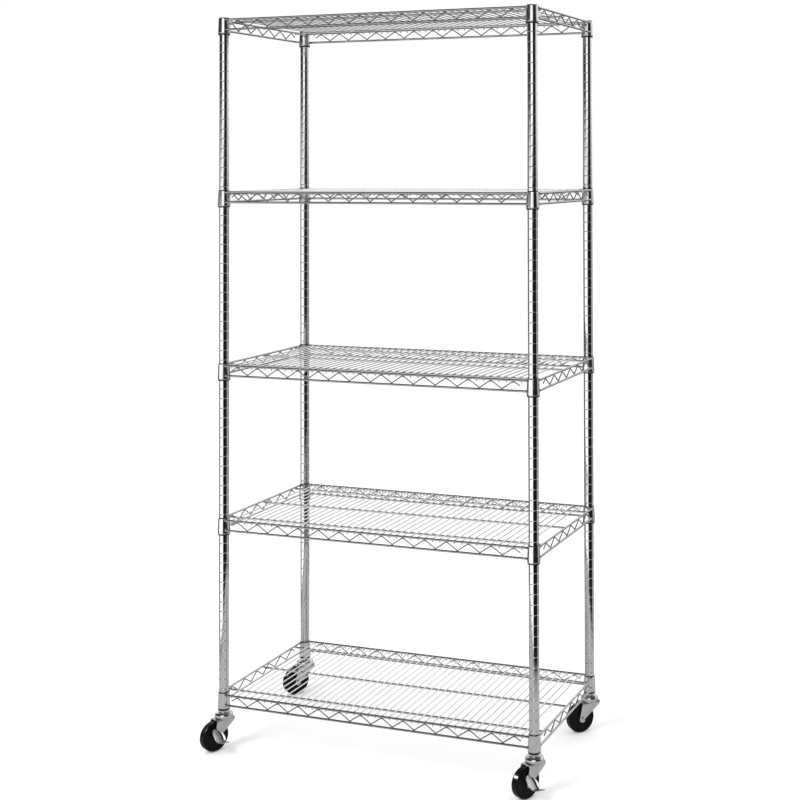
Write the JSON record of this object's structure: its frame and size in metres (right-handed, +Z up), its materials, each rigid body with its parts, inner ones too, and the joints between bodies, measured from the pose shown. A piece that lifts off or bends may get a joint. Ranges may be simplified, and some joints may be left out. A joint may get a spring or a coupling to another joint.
{
  "type": "wire shelving rack",
  "caption": "Free-standing wire shelving rack on swivel casters: grooved chrome posts, wire-deck shelves with zigzag side wires on tapered collars, side brakes at the front.",
  "frame": {"origin": "on the floor, midway between the post axes", "axes": "+X to the right seen from the front, +Y to the rear, +Z up"},
  "size_m": [0.9634, 0.5126, 1.9254],
  "materials": {
    "post_chrome": "bright chrome plate over steel tube",
    "wire_chrome": "bright chrome plate over drawn wire",
    "collar_chrome": "chrome plate, slightly satin",
    "zinc_plate": "bright zinc plate",
    "fork_zinc": "dull zinc plate on pressed steel",
    "lever_zinc": "bright zinc plate on pressed steel",
    "bolt_steel": "zinc plated steel",
    "ball_steel": "polished steel",
    "wheel_plastic": "glossy black moulded wheel",
    "sleeve_plastic": "black moulded plastic",
    "cap_plastic": "black moulded plastic"
  },
  "bodies": {
    "posts": {"post_front_left": "post_chrome", "post_front_right": "post_chrome", "post_rear_left": "post_chrome", "post_rear_right": "post_chrome", "post_caps": "cap_plastic", "stem_sockets": "zinc_plate", "level_1_sleeves": "sleeve_plastic", "level_2_sleeves": "sleeve_plastic", "level_3_sleeves": "sleeve_plastic", "level_4_sleeves": "sleeve_plastic", "level_5_sleeves": "sleeve_plastic", "caster_front_left_stem": "zinc_plate", "caster_front_right_stem": "zinc_plate", "caster_rear_left_stem": "zinc_plate", "caster_rear_right_stem": "zinc_plate"},
    "shelf_1": {"shelf_1_rods": "wire_chrome", "shelf_1_truss": "wire_chrome", "shelf_1_deck": "wire_chrome", "shelf_1_collars": "collar_chrome"},
    "shelf_2": {"shelf_2_rods": "wire_chrome", "shelf_2_truss": "wire_chrome", "shelf_2_deck": "wire_chrome", "shelf_2_collars": "collar_chrome"},
    "shelf_3": {"shelf_3_rods": "wire_chrome", "shelf_3_truss": "wire_chrome", "shelf_3_deck": "wire_chrome", "shelf_3_collars": "collar_chrome"},
    "shelf_4": {"shelf_4_rods": "wire_chrome", "shelf_4_truss": "wire_chrome", "shelf_4_deck": "wire_chrome", "shelf_4_collars": "collar_chrome"},
    "shelf_5": {"shelf_5_rods": "wire_chrome", "shelf_5_truss": "wire_chrome", "shelf_5_deck": "wire_chrome", "shelf_5_collars": "collar_chrome"},
    "caster_front_left_swivel": {"caster_front_left_balls": "ball_steel", "caster_front_left_fork": "fork_zinc", "caster_front_left_axle": "bolt_steel", "caster_front_left_bush": "bolt_steel", "caster_front_left_brake_pin": "bolt_steel"},
    "caster_front_left_rolling_wheel": {"caster_front_left_wheel": "wheel_plastic"},
    "caster_front_left_brake": {"caster_front_left_brake_lever": "lever_zinc"},
    "caster_front_right_swivel": {"caster_front_right_balls": "ball_steel", "caster_front_right_fork": "fork_zinc", "caster_front_right_axle": "bolt_steel", "caster_front_right_bush": "bolt_steel", "caster_front_right_brake_pin": "bolt_steel"},
    "caster_front_right_rolling_wheel": {"caster_front_right_wheel": "wheel_plastic"},
    "caster_front_right_brake": {"caster_front_right_brake_lever": "lever_zinc"},
    "caster_rear_left_swivel": {"caster_rear_left_balls": "ball_steel", "caster_rear_left_fork": "fork_zinc", "caster_rear_left_axle": "bolt_steel", "caster_rear_left_bush": "bolt_steel"},
    "caster_rear_left_rolling_wheel": {"caster_rear_left_wheel": "wheel_plastic"},
    "caster_rear_right_swivel": {"caster_rear_right_balls": "ball_steel", "caster_rear_right_fork": "fork_zinc", "caster_rear_right_axle": "bolt_steel", "caster_rear_right_bush": "bolt_steel"},
    "caster_rear_right_rolling_wheel": {"caster_rear_right_wheel": "wheel_plastic"}
  },
  "joints": [
    {"name": "shelf_1_lift", "type": "slide", "parent": "posts", "child": "shelf_1", "axis": [0, 0, 1], "range_m": [0, 0.3302]},
    {"name": "shelf_2_lift", "type": "slide", "parent": "posts", "child": "shelf_2", "axis": [0, 0, 1], "range_m": [0, 0.3302]},
    {"name": "shelf_3_lift", "type": "slide", "parent": "posts", "child": "shelf_3", "axis": [0, 0, 1], "range_m": [0, 0.3302]},
    {"name": "shelf_4_lift", "type": "slide", "parent": "posts", "child": "shelf_4", "axis": [0, 0, 1], "range_m": [0, 0.3302]},
    {"name": "shelf_5_lift", "type": "slide", "parent": "posts", "child": "shelf_5", "axis": [0, 0, 1], "range_m": [0, 0.1]},
    {"name": "caster_front_left_swivel", "type": "hinge", "parent": "posts", "child": "caster_front_left_swivel", "pos_m": [-0.438, -0.2095, 0.09], "axis": [0, 0, 1], "continuous": true},
    {"name": "caster_front_left_roll", "type": "hinge", "parent": "caster_front_left_swivel", "child": "caster_front_left_rolling_wheel", "pos_m": [-0.4502, -0.23691, 0.038], "axis": [0.9135, -0.4067, 0], "continuous": true},
    {"name": "caster_front_left_brake", "type": "hinge", "parent": "caster_front_left_swivel", "child": "caster_front_left_brake", "pos_m": [-0.4301, -0.24585, 0.038], "axis": [0.4067, 0.9135, 0], "range_deg": [0, 25]},
    {"name": "caster_front_right_swivel", "type": "hinge", "parent": "posts", "child": "caster_front_right_swivel", "pos_m": [0.438, -0.2095, 0.09], "axis": [0, 0, 1], "continuous": true},
    {"name": "caster_front_right_roll", "type": "hinge", "parent": "caster_front_right_swivel", "child": "caster_front_right_rolling_wheel", "pos_m": [0.42485, -0.23646, 0.038], "axis": [0.8988, -0.4384, 0], "continuous": true},
    {"name": "caster_front_right_brake", "type": "hinge", "parent": "caster_front_right_swivel", "child": "caster_front_right_brake", "pos_m": [0.44462, -0.24611, 0.038], "axis": [0.4384, 0.8988, 0], "range_deg": [0, 25]},
    {"name": "caster_rear_left_swivel", "type": "hinge", "parent": "posts", "child": "caster_rear_left_swivel", "pos_m": [-0.438, 0.2095, 0.09], "axis": [0, 0, 1], "continuous": true},
    {"name": "caster_rear_left_roll", "type": "hinge", "parent": "caster_rear_left_swivel", "child": "caster_rear_left_rolling_wheel", "pos_m": [-0.45345, 0.18379, 0.038], "axis": [0.8572, -0.515, 0], "continuous": true},
    {"name": "caster_rear_right_swivel", "type": "hinge", "parent": "posts", "child": "caster_rear_right_swivel", "pos_m": [0.438, 0.2095, 0.09], "axis": [0, 0, 1], "continuous": true},
    {"name": "caster_rear_right_roll", "type": "hinge", "parent": "caster_rear_right_swivel", "child": "caster_rear_right_rolling_wheel", "pos_m": [0.41793, 0.18721, 0.038], "axis": [0.7431, -0.6691, 0], "continuous": true}
  ]
}
